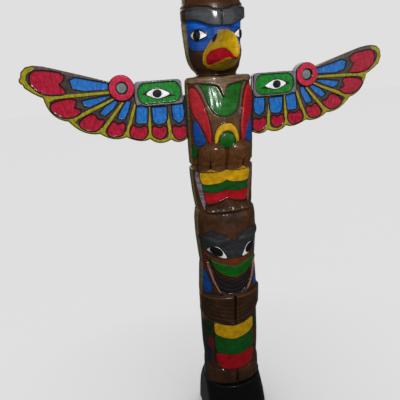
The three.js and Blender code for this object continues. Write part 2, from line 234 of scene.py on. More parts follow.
def base_rings():
    """Rings from the underside up to the shoulder, the square turning into the trunk's round."""
    base_low, base_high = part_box("base")
    setback = (base_low[1] + base_high[1]) / 2 / MM
    edge = np.array([0.0, 0.3, 0.7, 1.0])
    levels = np.concatenate([
        edge * BASE_EDGE_ROUND,
        np.linspace(3 * BASE_EDGE_ROUND, BASE_HEIGHT - 2 * BASE_EDGE_ROUND, BASE_LEVELS),
        BASE_HEIGHT - edge[::-1] * BASE_EDGE_ROUND,
    ])
    rings = []
    for z in levels:
        level = z / BASE_HEIGHT
        square = np.interp(level, *BASE_SQUARENESS)
        into_edge = max(0, BASE_EDGE_ROUND - z, z - BASE_HEIGHT + BASE_EDGE_ROUND)
        inset = BASE_EDGE_ROUND - math.sqrt(max(0, BASE_EDGE_ROUND ** 2 - into_edge ** 2))
        half = (BASE_SIDE + (BASE_TOP_SIDE - BASE_SIDE) * level) / 2 - inset
        corner = BASE_TOP_SIDE / 2 - inset + (BASE_CORNER - BASE_TOP_SIDE / 2) * square
        ring = []
        for quarter in range(4):
            turn = quarter * math.pi / 2
            for i in range(CORNER_STEPS + SIDE_STEPS):
                sweep = min(i / CORNER_STEPS, 1) * math.pi / 2
                slide = max(0, (i - CORNER_STEPS) / SIDE_STEPS) * 2 * (half - corner)
                x = half - corner + corner * math.cos(sweep) - slide
                y = half - corner + corner * math.sin(sweep)
                ring.append((x * math.cos(turn) - y * math.sin(turn),
                             x * math.sin(turn) + y * math.cos(turn), z))
        rings.append(ring)
    rings = np.array(rings)
    round_angle = np.arctan2(rings[..., 1], rings[..., 0])
    planed = PLANE_MARK_DEPTH * hand_noise(
        round_angle * PLANE_MARKS_PER_RADIAN, rings[..., 2] / PLANE_MARK_LENGTH, 3) - PLANE_MARK_DEPTH
    rings[..., :2] *= 1 + planed[..., None] / (BASE_SIDE / 2)
    rings[..., 1] += setback
    return rings


base_block = closed_skin("base_block", base_rings(), {})

# Gloss black enamel brushed on softwood: nearly black, with a soft shine that is duller in cloudy patches
# about 45 mm across, and fine upright brush marks about 2.4 mm apart
BRUSH_HAIRS_PER_METRE, BRUSH_PULLS_PER_METRE = 420, 14
ENAMEL_CLOUDS_PER_METRE = 22.0
enamel, enamel_shader = new_material("gloss_black_enamel")
enamel_shader.inputs["IOR"].default_value = 1.5
enamel_shader.inputs["Specular IOR Level"].default_value = 0.12
enamel_shader.inputs["Coat Weight"].default_value = 0.12
enamel_shader.inputs["Coat Roughness"].default_value = 0.1
enamel_place = add_node(enamel, "ShaderNodeTexCoord")
enamel_stretch = add_node(enamel, "ShaderNodeMapping",
                          {"Scale": (BRUSH_HAIRS_PER_METRE, BRUSH_HAIRS_PER_METRE, BRUSH_PULLS_PER_METRE)},
                          {"Vector": enamel_place.outputs["Object"]})
enamel_grain = add_node(enamel, "ShaderNodeTexNoise", {"Scale": 1.0, "Detail": 4.0},
                        {"Vector": enamel_stretch.outputs["Vector"]})
enamel_cloud = add_node(enamel, "ShaderNodeTexNoise", {"Scale": ENAMEL_CLOUDS_PER_METRE, "Detail": 3.0},
                        {"Vector": enamel_place.outputs["Object"]})
enamel_tone = add_node(enamel, "ShaderNodeMix",
                       {"data_type": "RGBA", 6: linear("#040405"), 7: linear("#09090a")},
                       {0: enamel_cloud.outputs["Fac"]})
enamel_rough = add_node(enamel, "ShaderNodeMapRange", {"To Min": 0.3, "To Max": 0.5},
                        {"Value": enamel_cloud.outputs["Fac"]})
enamel_bump = add_node(enamel, "ShaderNodeBump", {"Strength": 0.25, "Distance": 0.0004},
                       {"Height": enamel_grain.outputs["Fac"]})
for socket, source in (("Base Color", enamel_tone.outputs[2]), ("Roughness", enamel_rough.outputs["Result"]),
                       ("Normal", enamel_bump.outputs["Normal"])):
    enamel.node_tree.links.new(source, enamel_shader.inputs[socket])
base_block.data.materials.append(enamel)
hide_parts("base")
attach(base_block, "root")

# The trunk: one log of softwood, carved with knife and gouge on its front and sides, its back left round. It
# is drawn from the front, as distances from the middle line and heights above the floor in millimetres, alike
# on both halves.
POLE_TOP = 1500.0
# The eagle's head stands a little to its right of the carving's middle line, from the neck up
HEAD_LEAN, HEAD_LEAN_HEIGHTS = 4.0, (1252, 1290)
# The lowest height of each stretch of carving
HEAD_FOOT, BODY_FOOT, KNEES_FOOT, TAIL_FOOT, BEAR_FOOT, ARMS_FOOT = 1256, 1059, 966, 841, 548, 436

# Height, half width, depth in front of and behind the axis, and how far back the section is widest
SECTIONS = np.array([
    [178, 101, 64, 101, 3], [240, 100, 66, 104, 4], [262, 97, 67, 106, 5], [321, 100, 70, 106, 5],
    [364, 101, 68, 106, 4], [418, 101, 66, 105, 4], [458, 101, 65, 104, 3], [466, 99, 66, 103, 3],
    [476, 101, 68, 103, 2], [543, 101, 79, 102, 0], [583, 99, 86, 99, 0], [626, 96, 91, 96, 0],
    [652, 93, 93, 94, 0], [675, 95, 95, 95, 0], [700, 97, 97, 96, 0], [763, 101, 98, 96, 0],
    [800, 101, 92, 96, 0], [834, 97, 84, 95, 0], [839, 92, 74, 92, 2], [842, 94, 46, 92, 2],
    [890, 99, 40, 106, 8], [970, 103, 44, 110, 10], [975, 96, 44, 102, 8], [984, 96, 46, 102, 7],
    [990, 102, 50, 106, 6], [1040, 103, 66, 106, 6], [1066, 103, 70, 106, 6], [1147, 102, 64, 106, 5],
    [1200, 101, 52, 105, 5], [1238, 99, 42, 103, 5], [1246, 93, 40, 98, 6], [1250, 60, 34, 80, 12],
    [1273, 74, 48, 92, 18], [1310, 84, 60, 108, 22], [1400, 90, 64, 116, 25], [1438, 90, 62, 115, 25],
    [1446, 85, 58, 110, 24], [1475, 83, 54, 108, 24], [1492, 74, 46, 98, 22], [1500, 55, 30, 80, 20],
], float)
# Height, half width where the beak leaves the face, depth of its ridge
BEAK = np.array([
    [1260, 20, 44], [1264, 33, 62], [1269, 44, 88], [1276, 51, 118], [1284, 56, 154], [1293, 57, 184],
    [1304, 57, 192], [1320, 52, 192], [1336, 41, 184], [1351, 28, 164], [1361, 17, 136], [1366, 10, 108],
    [1370, 4, 70],
], float)
# Edges of the carved forms, as distance and height or, where a side is drawn, as height and distance
BROW_LOW = np.array([[0, 1380], [20, 1380], [38, 1384], [50, 1391], [66, 1398], [84, 1401]])
BROW_HIGH = np.array([[0, 1418], [21, 1421], [33, 1427], [64, 1432], [84, 1430]])
SOCKET_HIGH = np.array([[0, 1376], [20, 1376], [38, 1380], [50, 1387], [66, 1394], [84, 1397]])
COLLAR_LOW = np.array([[0, 1190], [3, 1192], [10, 1217], [17, 1222], [37, 1226], [69, 1230], [90, 1230]])
LIP_SIDE = np.array([[546, 26], [563, 48], [604, 65], [635, 72], [661, 78], [672, 83]])
ARM_LOW = np.array([[0, 428], [9, 431], [46, 440], [70, 450], [95, 472]])
TAIL_SIDE = np.array([[841, 68], [874, 68], [913, 73], [965, 83]])
BELLY_SIDE = np.array([[240, 40], [262, 64], [300, 69], [435, 69]])
MUZZLE_LOW = np.array([[0, 617], [18, 621], [42, 632], [59, 648], [71, 680]])
MUZZLE_HIGH = np.array([[0, 658], [23, 667], [46, 673], [70, 682]])
TOES_HIGH = np.array([[0, 878], [8, 874], [22, 869], [47, 862], [56, 861], [67, 862]])
# Rounded swellings: distance and height of the middle, half width, half height
EAGLE_LIDS, EAGLE_EYEBALL = (60, 1358, 21, 17), (66, 1357.5, 10, 16)
MOUND, KNEECAP = (0, 1064, 26, 25), (43, 1026, 26, 27)

# The painted fields, each an outline of points at a distance from the middle and a height
PAINTED = {
    "slate": [
        [(-20, 1378), (20, 1378), (38, 1382), (50, 1389), (66, 1396), (82, 1400), (85, 1404), (85, 1416),
         (83, 1432), (80, 1433), (64, 1433), (33, 1428), (21, 1422), (-20, 1420)],
        [(-20, 745), (0, 748), (13, 760), (33, 773), (56, 781), (75, 779), (88, 764), (91, 746), (91, 716),
         (82, 711), (74, 700), (60, 693), (40, 690), (22, 692), (0, 690), (-20, 690)],
    ],
    "taupe": [
        [(-20, 1190), (2, 1191), (4, 1196), (10, 1215), (17, 1222), (37, 1226), (69, 1230), (92, 1229),
         (97, 1247), (-20, 1247)],
        [(66, 1228), (82, 1226), (74, 1212), (66, 1190), (57, 1165), (52, 1146), (47, 1122), (44, 1140),
         (47, 1155), (53, 1178), (58, 1205)],
        [(95, 964), (89, 918), (81, 873), (74, 841), (68, 841), (67, 874), (73, 913), (79, 952), (82, 965)],
    ],
    "rust": [
        [(-20, 688), (0, 689), (22, 691), (40, 691), (57, 697), (72, 706), (86, 712), (88, 700), (72, 682),
         (46, 673), (23, 667), (0, 658), (-20, 656)],
    ],
    "maroon": [
        [(-20, 614), (0, 615), (18, 619), (42, 630), (59, 646), (66, 657), (70, 650), (60, 632), (44, 617),
         (20, 606), (0, 602), (-20, 601)],
        [(85, 688), (80, 664), (76, 640), (74, 622), (80, 626), (87, 645), (92, 668), (92, 688)],
        [(72, 372), (92, 372), (90, 311), (74, 311)],
    ],
    "ash": [
        [(-20, 600), (0, 601), (20, 605), (44, 616), (60, 630), (66, 640), (64, 604), (48, 563), (30, 550),
         (-20, 548)],
    ],
    "blue": [
        [(-20, 1379), (20, 1379), (38, 1383), (50, 1390), (66, 1397), (88, 1401), (90, 1400), (90, 1380),
         (88, 1345), (83, 1323), (70, 1319), (50, 1318), (-20, 1318)],
        [(83, 1128), (74, 1104), (66, 1078), (61, 1054), (74, 1050), (88, 1049), (92, 1070), (92, 1100),
         (90, 1124)],
        [(94, 636), (87, 636), (80, 612), (72, 582), (71, 566), (82, 555), (94, 551)],
    ],
    # The low blue and green side patches are painted darker than the front's: painted shade where the light
    # falls off round the sides
    "shaded_side_blue": [
        [(83, 335), (98, 330), (98, 262), (86, 258), (82, 290)],
    ],
    "shaded_side_green": [
        [(75, 440), (97, 440), (98, 376), (80, 376), (76, 400)],
    ],
    "leaf": [
        [(-20, 1131), (10, 1132), (30, 1140), (40, 1150), (49, 1177), (56, 1205), (70, 1229), (71, 1230),
         (69, 1229), (37, 1225), (18, 1220), (11, 1214), (5, 1196), (2, 1187), (-20, 1187)],
        [(-20, 1087), (8, 1086), (17, 1080), (22, 1070), (24, 1058), (20, 1047), (8, 1043), (-20, 1042)],
        [(-20, 656), (0, 657), (23, 666), (46, 672), (70, 683), (82, 692), (76, 676), (66, 660), (59, 648),
         (42, 632), (18, 621), (0, 617), (-20, 616)],
    ],
    "pine": [
        [(86, 1052), (101, 1052), (101, 1008), (90, 1008), (84, 1030)],
        [(-20, 943), (0, 935), (8, 930), (22, 925), (46, 923), (62, 922), (76, 926), (71, 904), (58, 898),
         (45, 896), (22, 898), (0, 905), (-20, 908)],
        [(-20, 366), (0, 367), (27, 372), (53, 381), (69, 393), (69, 318), (40, 312), (13, 307), (0, 305),
         (-20, 304)],
    ],
    "yellow": [
        [(-20, 1114), (8, 1113), (15, 1111), (29, 1099), (36, 1080), (38, 1060), (34, 1055), (28, 1059),
         (26, 1070), (20, 1083), (10, 1091), (-20, 1093)],
        [(-20, 969), (45, 969), (48, 986), (51, 969), (81, 969), (77, 928), (62, 924), (46, 925), (30, 927),
         (22, 927), (8, 932), (0, 937), (-20, 945)],
        [(-20, 419), (0, 420), (17, 423), (44, 429), (69, 437), (69, 396), (53, 383), (27, 374), (0, 369),
         (-20, 368)],
    ],
    "red": [
        [(82, 1220), (90, 1219), (95, 1205), (95, 1188), (93, 1165), (88, 1140), (81, 1125), (73, 1110),
         (63, 1086), (55, 1062), (50, 1056), (46, 1059), (45, 1083), (47, 1112), (53, 1146), (61, 1178),
         (72, 1207)],
        [(-20, 906), (0, 903), (22, 896), (45, 894), (58, 896), (70, 901), (67, 864), (56, 860), (47, 861),
         (22, 867), (8, 872), (0, 876), (-20, 880)],
        [(-20, 302), (0, 303), (13, 305), (40, 310), (69, 316), (67, 270), (55, 252), (28, 244), (0, 240),
         (-20, 239)],
    ],
}
MOUTH_RED = [(-20, 1292), (0, 1292.5), (8, 1298), (14, 1311), (22, 1320), (32, 1319), (42, 1314), (48, 1304),
             (49, 1293), (47, 1284), (42, 1277), (34, 1279), (25, 1288), (14, 1295), (8, 1289.5), (0, 1287.5),
             (-20, 1287)]
NOSTRIL = [(14, 1360), (17, 1359), (25, 1350), (33, 1338), (30, 1337), (22, 1348)]
EAGLE_EYE = [(84, 1360), (76, 1369), (66, 1372), (56, 1368.5), (47, 1362), (41, 1357), (47, 1353),
             (56, 1349.5), (68, 1345.5), (77, 1351)]
BEAR_EYE = [(81, 715), (73, 726), (63, 733), (52, 733), (42, 726), (31, 709), (23, 691), (40, 694),
            (57, 702), (70, 710)]
# Middle, half width and half height of each pupil, and how deep in millimetres its middle counts
EAGLE_PUPIL = (66, 1359, 9.0, 14.5, 9.0)
BEAR_PUPIL = (53.5, 0, 18.0, 15.5, 16.0)
# The bear's pupil rises outwards from this distance and height
BEAR_SLANT_FROM, BEAR_SLANT = (54, 716.5), 0.35


def rounded(outline, passes=2):
    """The outline with its corners cut off again and again, as a loaded brush rounds them."""
    points = np.array(outline, float)
    for _ in range(passes):
        following = np.roll(points, -1, axis=0)
        near, far = 0.75 * points + 0.25 * following, 0.25 * points + 0.75 * following
        points = np.stack([near, far], 1).reshape(-1, 2)
    return points


def depth_inside(outline, x, z):
    """How far each point lies inside a closed outline, in millimetres, negative outside it."""
    nearest = np.full(x.shape, 1e9)
    inside = np.zeros(x.shape, bool)
    for (ax, az), (bx, bz) in zip(outline, np.roll(outline, -1, axis=0)):
        run, rise = bx - ax, bz - az
        share = np.clip(((x - ax) * run + (z - az) * rise) / (run * run + rise * rise + 1e-9), 0, 1)
        nearest = np.minimum(nearest, np.hypot(x - ax - share * run, z - az - share * rise))
        if rise:
            inside ^= ((az > z) != (bz > z)) & (x < run * (z - az) / rise + ax)
    return np.where(inside, nearest, -nearest)


def along(rows, place):
    """A value read off rows of place and value along straight lines between them."""
    return np.interp(place, rows[:, 0], rows[:, 1])


def eased(rows, place, column):
    """A value read off rows along a smooth curve that never overshoots them."""
    x, y = rows[:, 0], rows[:, column]
    step = np.diff(x)
    slope = np.diff(y) / step
    bend = np.zeros(len(x))
    same_way = slope[:-1] * slope[1:] > 0
    bend[1:-1][same_way] = 2 / (1 / slope[:-1][same_way] + 1 / slope[1:][same_way])
    i = np.clip(np.searchsorted(x, place) - 1, 0, len(step) - 1)
    t = np.clip((place - x[i]) / step[i], 0, 1)
    return ((2 * t ** 3 - 3 * t ** 2 + 1) * y[i] + (t ** 3 - 2 * t ** 2 + t) * step[i] * bend[i]
            + (3 * t ** 2 - 2 * t ** 3) * y[i + 1] + (t ** 3 - t ** 2) * step[i] * bend[i + 1])


def band(low, high, value, edge=2.0):
    """1 between low and high, falling to 0 across each edge."""
    return smooth(low - edge, low + edge, value) * (1 - smooth(high - edge, high + edge, value))


def dome(swelling, x, z):
    """A round swelling, 1 at its middle and 0 from its edge on."""
    middle, height, half_width, half_height = swelling
    return np.sqrt(np.clip(1 - ((x - middle) / half_width) ** 2 - ((z - height) / half_height) ** 2, 0, 1))


def depth_in_oval(oval, x, z):
    """How far each point lies inside an oval, in millimetres, negative outside it."""
    middle, height, half_width, half_height, middle_depth = oval
    return middle_depth - middle_depth * np.hypot((x - middle) / half_width, (z - height) / half_height)


def pole_heights():
    """Heights of the rings, closest over the beak, the ledges and the hands."""
    stretches = [
        # from, to, step
        (178, 190, 1.5), (190, 236, 3.5), (236, 262, 2.2), (262, 425, 3.5), (425, 480, 1.5),
        (480, 760, 2.4), (760, 832, 4.0), (832, 846, 1.2), (846, 880, 2.4), (880, 962, 3.0),
        (962, 1006, 1.6), (1006, 1236, 2.6), (1236, 1252, 1.3), (1252, 1260, 2.0), (1260, 1372, 1.3),
        (1372, 1440, 2.0), (1440, POLE_TOP, 3.0),
    ]
    runs = [np.linspace(low, high, math.ceil((high - low) / step), endpoint=False)
            for low, high, step in stretches]
    return np.append(np.concatenate(runs), POLE_TOP)


def pole_angles():
    """Angles round the trunk from the front: close together over the carving, wide over the plain back."""
    front_steps, back_steps, evenness = 146, 20, 0.4
    share = np.arange(front_steps) * 2 / front_steps - 1
    front = (1 - evenness) * np.arcsin(share) + evenness * share * math.pi / 2
    return np.concatenate([front, math.pi / 2 + np.arange(back_steps) * math.pi / back_steps])


heights, angles = np.meshgrid(pole_heights(), pole_angles(), indexing="ij")
half_width, front_depth, back_depth, widest = (eased(SECTIONS, heights, column) for column in (1, 2, 3, 4))
x_drawn = half_width * np.sin(angles) - HEAD_LEAN * smooth(*HEAD_LEAN_HEIGHTS, heights)
x, z = np.abs(x_drawn), heights
# 1 straight in front, 0 at the sides, where the carving runs out, and negative behind
facing = np.cos(angles)
carved_side = smooth(0, 0.2, facing)

# How deep each point lies in each painted field, and in the eyes, mouth and nostril
fields = {}
for colour, outlines in PAINTED.items():
    fields[colour] = np.max([depth_inside(rounded(outline), x, z) for outline in outlines], axis=0)
eagle_eye = depth_inside(rounded(EAGLE_EYE, 1), x, z)
bear_eye = depth_inside(rounded(BEAR_EYE, 1), x, z)
mouth = depth_inside(rounded(MOUTH_RED), x, z)
nostril = depth_inside(rounded(NOSTRIL, 1), x, z)
eagle_pupil = depth_in_oval(EAGLE_PUPIL, x, z)
slanted = (z - BEAR_SLANT_FROM[1]) - BEAR_SLANT * (x - BEAR_SLANT_FROM[0])
bear_pupil = depth_in_oval(BEAR_PUPIL, x, slanted)


def cut_rows(place, width, sharpness):
    """Fingers, toes or teeth side by side: 1 along the middle of each and 0 in the cuts between them."""
    return np.abs(np.sin(place / width * math.pi)) ** sharpness


def tool_marks(marks, x, z):
    """Shallow marks all over: each kind's depth, its size along x and along z, and a seed."""
    return sum(depth * hand_noise(x / size_x, z / size_z, seed) for depth, size_x, size_z, seed in marks)


# The carving: each form from 0 to 1, then how many millimetres it stands out of the log or is cut in. The
# head: brow with its split, sunk sockets, lids and eyeballs
brow = band(along(BROW_LOW, x), along(BROW_HIGH, x), z, 3)
brow_split = brow * (1 - smooth(1, 4, x))
socket = (1 - smooth(-5, 5, z - along(SOCKET_HIGH, x))) * smooth(1312, 1342, z) * smooth(20, 34, x)
head = (7 * brow - 5 * brow_split - 5 * socket + 4 * dome(EAGLE_LIDS, x, z)
        + 1.5 * smooth(-1.5, 1, eagle_eye) + 1.2 * dome(EAGLE_EYEBALL, x, z))

# The body: raised collar, sunk bib, raised and grooved wing stripes, arch and mound
COLLAR_HIGH = 1247
bib_depth, stripe_depth, arch_depth = (
    depth_inside(rounded(PAINTED[colour][0]), x, z) for colour in ("leaf", "red", "yellow"))
collar = smooth(-1.5, 1.5, z - along(COLLAR_LOW, x)) * (z < COLLAR_HIGH)
bib = smooth(-1.5, 1.5, bib_depth) * (1 - collar)
stripe = smooth(-2, 2.5, stripe_depth)
stripe_groove = 1 - smooth(0.5, 3, np.abs(stripe_depth + 1.5))
arch = smooth(-2, 2.5, arch_depth)
body = 4 * collar - 5 * bib + 6 * stripe - 2 * stripe_groove + 4.5 * arch + 6 * dome(MOUND, x, z)

# The knees: two rounded blocks, each with a kneecap and a notch between its two toes
KNEE_MIDDLE, KNEE_HALF_WIDTH, KNEE_SHOULDER, KNEE_ROUND, KNEE_LOW = 43, 41, 1020, 40, 968
TOE_NOTCH_MIDDLE, TOE_NOTCH_LOW, TOE_NOTCH_HIGH = 48, 976, 1004
knee_across = (x - KNEE_MIDDLE) / KNEE_HALF_WIDTH
knee_up = np.clip((z - KNEE_SHOULDER) / KNEE_ROUND, 0, None)
knee = np.sqrt(np.clip(1 - np.abs(knee_across) ** 2.4 - knee_up ** 2, 0, 1)) * (z > KNEE_LOW)
toe_notch = 1 - smooth(0.5, 4, np.abs(x - TOE_NOTCH_MIDDLE))
toe_notch *= 1 - smooth(TOE_NOTCH_LOW + 2, TOE_NOTCH_HIGH, z)
# Where the log itself comes further forward, up the knee, the knee stands out up to 4 mm less
knees = (knee * (17 - 6 * toe_notch - np.clip(front_depth - 66, 0, 4))
         + 4 * dome(KNEECAP, x, z) * (z > KNEE_LOW))

# The tail: a flat facet that ends over a row of toes
TAIL_TOES_LOW, TAIL_TOE_WIDTH = 842, 34
tail_facet = 1 - smooth(-1, 2, x - along(TAIL_SIDE, z))
toes_up = np.clip((z - TAIL_TOES_LOW) / (along(TOES_HIGH, x) - TAIL_TOES_LOW), 0, 1)
tail_toes = (1 - toes_up ** 2) * (1 - smooth(60, 71, x))
tail = 4 * tail_facet + tail_toes * (19 + 5 * cut_rows(x, TAIL_TOE_WIDTH, 0.8))

# The bear's head: lids, brow ridges, muzzle, and an open mouth with lips and rows of teeth
# The lids lie along a line that rises outwards from this distance and height
LID_FROM, LID_RISE = (26, 699), 0.62
BEAR_LIDS = (52, 0, 29, 18)
BROW_RIDGE_HEIGHTS, LIP_HEIGHTS, LIP_HIGHLIGHT_HEIGHTS = (735, 752), (550, 668), (556, 664)
MOUTH_HOLLOW_LOW, TOOTH_HEIGHT = 549, 17
lid_height = LID_FROM[1] + (x - LID_FROM[0]) * LID_RISE
brow_ridge = band(*BROW_RIDGE_HEIGHTS, z - np.abs(x - 50) * 0.25, 7) * smooth(4, 20, x)
muzzle_low, lip_side = along(MUZZLE_LOW, x), along(LIP_SIDE, z)
muzzle = band(muzzle_low, along(MUZZLE_HIGH, x), z, 4) * (1 - smooth(70, 76, x))
mouth_hollow = (1 - smooth(-3, 1, x - lip_side)) * band(MOUTH_HOLLOW_LOW, muzzle_low, z, 3)
lip = (1 - smooth(1.5, 5, np.abs(x - lip_side))) * band(*LIP_HEIGHTS, z, 4)
teeth = mouth_hollow * cut_rows(muzzle_low - z, TOOTH_HEIGHT, 0.7)
bear = (4 * dome(BEAR_LIDS, x, z - lid_height) + 4 * brow_ridge + 4 * muzzle - 9 * mouth_hollow + 3 * teeth
        + 4.5 * lip + 1.5 * smooth(-1.5, 1, bear_eye))

# The arms: two hands that meet in the middle, their fingers cut along them up to a plain back of the hand
FINGER_WIDTH, ARM_HIGH, HAND_BACK, HAND_SLANT = 18, 548, (505, 514), 0.35
arm_line = along(ARM_LOW, x)
arm = smooth(-4, 3, z - arm_line) * smooth(ARM_HIGH, ARM_HIGH - 8, z)
up_the_hand = z - HAND_SLANT * (arm_line - ARM_LOW[0, 1])
fingers = (cut_rows(z - arm_line, FINGER_WIDTH, 0.8) * smooth(*HAND_BACK[::-1], up_the_hand)
           + 0.8 * smooth(*HAND_BACK, up_the_hand))
palm_gap = 1 - smooth(2, 7, x)
arms = arm * (8 + 3 * fingers * (1 - smooth(72, 92, x)) - 13 * palm_gap)

# The legs: a raised belly panel with a groove down each side, and two rounded feet with toes on a low rim
BELLY_LOW, BELLY_HIGH, BELLY_GROOVE_HIGH = 240, 437, 430
FOOT_FLAT, FOOT_ROUND, FOOT_TOE_WIDTH = 196, 44, 29
belly_line = along(BELLY_SIDE, z)
belly = band(BELLY_LOW, BELLY_HIGH, z, 4) * (1 - smooth(-1, 2, x - belly_line))
belly_groove = band(BELLY_LOW, BELLY_GROOVE_HIGH, z, 6) * (1 - smooth(2, 6, np.abs(x - belly_line - 4)))
foot_up = np.clip((z - FOOT_FLAT) / FOOT_ROUND, 0, 1)
foot = np.sqrt(np.clip(1 - foot_up ** 2, 0, 1)) * smooth(0, 7, x) * (1 - smooth(62, 95, x))
foot_toe = cut_rows(x - 2, FOOT_TOE_WIDTH, 0.7)
foot_rim = 1 - smooth(182, 185, z)
legs = 4 * belly - 3 * belly_groove + foot * (7 + 2.5 * foot_toe) * (1 - foot_rim) + 3 * foot_rim

relief = np.select(
    [z > HEAD_FOOT, z > BODY_FOOT, z > KNEES_FOOT, z > TAIL_FOOT, z > BEAR_FOOT, z > ARMS_FOOT],
    [head, body, np.maximum(body, knees), tail, bear, arms],
    legs + arms * (z > arm_line - 4),
)
# Long gouge marks and short ones between them run up the log
TRUNK_MARKS = [(0.35, 11, 34, 1), (0.18, 4.5, 16, 2)]
raised = relief * carved_side + tool_marks(TRUNK_MARKS, x_drawn, z)

depth = np.where(facing > 0, front_depth + widest, back_depth - widest)
normal_x, normal_y = np.sin(angles) / half_width, facing / depth
length = np.hypot(normal_x, normal_y)
pole_x = x_drawn + normal_x / length * raised
pole_forward = facing * depth - widest + normal_y / length * raised

# The beak stands out of the face as a keeled hook, its mouth cut 6 mm in along a curve. Its sides start at a
# share of the face's own depth.
BEAK_ROOT_SHARE = 0.45
OFF_THE_BEAK = -40
reach, ridge = eased(BEAK, z, 1), eased(BEAK, z, 2)
root = BEAK_ROOT_SHARE * front_depth
mouth_cut = smooth(-1.5, 2.5, mouth)
keel = 1 - np.clip(x / reach, 0, 1) ** 1.5
beak = root + (ridge - root) * keel - 6 * mouth_cut * smooth(2, 16, x) - 1.5 * smooth(-2, 1.5, nostril)
on_beak = (z > BEAK[0, 0]) & (z < BEAK[-1, 0]) & (x < reach) & (facing > 0)
beak_above_face = np.where(on_beak, beak - pole_forward, OFF_THE_BEAK)
pole_forward = np.where(beak_above_face > 0, beak, pole_forward)

# The paint as it lies: yellow beak over the blue face, red mouth, dark lines in the deep cuts, stained flanks
FIELD_REACH = 30
FLANK_FROM, HEAD_FLANK_FROM, BLACK_FLANK_FROM = (math.radians(turn) for turn in (73, 76, 78))
BLACK_FLANK_HIGH = 434
LIP_HIGHLIGHT_HALF_WIDTH, BROW_CUT_HALF_WIDTH, TOE_CUT_HALF_WIDTH = 1.6, 2.2, 1.8
BROW_CUT_HEIGHTS = (1380, 1420)
off_front = np.abs(angles)
fields["beak"] = np.clip(beak_above_face * 0.4, OFF_THE_BEAK, 10)
fields["mouth"] = np.where(beak_above_face > 2, mouth, OFF_THE_BEAK)
fields["nostril"] = np.where(on_beak, nostril, OFF_THE_BEAK)
fields["cut"] = np.maximum(
    band(*BROW_CUT_HEIGHTS, z) * (BROW_CUT_HALF_WIDTH - x),
    np.minimum(TOE_CUT_HALF_WIDTH - np.abs(x - TOE_NOTCH_MIDDLE),
               np.minimum(z - TOE_NOTCH_LOW, TOE_NOTCH_HIGH - z)))
fields["white"] = np.maximum(eagle_eye, bear_eye)
fields["pupil"] = np.maximum(eagle_pupil, bear_pupil)
# A pale pink line along each lip's raised edge: a painted highlight
fields["lip_edge_highlight"] = LIP_HIGHLIGHT_HALF_WIDTH - np.abs(x - lip_side) + 20 * (band(*LIP_HIGHLIGHT_HEIGHTS, z, 4) - 1)
fields["olive"] = np.minimum((off_front - FLANK_FROM) * 100, z - BLACK_FLANK_HIGH)
fields["tan"] = np.minimum((off_front - HEAD_FLANK_FROM) * 100, z - HEAD_FOOT)
# Below BLACK_FLANK_HIGH the flanks and back are painted near-black
fields["black_low_flank"] = np.minimum((off_front - BLACK_FLANK_FROM) * 100, BLACK_FLANK_HIGH - z)
# Only the left tail bevel is painted pale grey-violet: a painted highlight standing in for a lamp's shine on
# it
fields["left_bevel_highlight"] = np.minimum(depth_inside(rounded(PAINTED["taupe"][2], 1), x, z), -x_drawn)
for name in fields:
    if name not in ("olive", "tan", "black_low_flank"):
        fields[name] = np.where(facing > 0.05, np.clip(fields[name], -FIELD_REACH, FIELD_REACH), -FIELD_REACH)
# How warm and light the bare stain is at each height
STAIN_WARMTH = np.array([
    [178, 0.1], [240, 0.1], [300, -0.1], [430, 0], [545, 0.1], [600, 0.1], [690, 0.4], [730, 0.1], [800, 0.3],
    [850, 0.1], [960, 0.3], [980, 0.7], [1045, 0.7], [1070, 0.6], [1235, 0.3], [1250, -0.4], [1320, -0.4],
    [1430, 0.2], [1500, 0.2],
])
fields["warmth"] = along(STAIN_WARMTH, z)


def crests(standing, rows_round, columns_round):
    """How far each point stands above the mean of the points round it: edges are high, cuts are low."""
    shifts = [(row, column) for row in range(-rows_round, rows_round + 1)
              for column in range(-columns_round, columns_round + 1)]
    mean = sum(np.roll(standing, shift, (0, 1)) for shift in shifts) / len(shifts)
    return np.clip(standing - mean, -2, 2)


fields["crest"] = crests(raised, 3, 2)

pole_points = np.stack([pole_x, -pole_forward, z], axis=-1)
# The crown ends flat, closed by ever smaller rings
crown = pole_points[-1]
crown_middle = crown.mean(axis=0)
crown_rings = [crown_middle + (crown - crown_middle) * share for share in (0.97, 0.8, 0.5, 0.2, 0.03)]
pole_points = np.concatenate([pole_points, np.array(crown_rings)])
fields = {name: np.concatenate([inside] + [inside[-1:]] * len(crown_rings))
          for name, inside in fields.items()}
carved_pole = closed_skin("carved_pole", pole_points, fields)

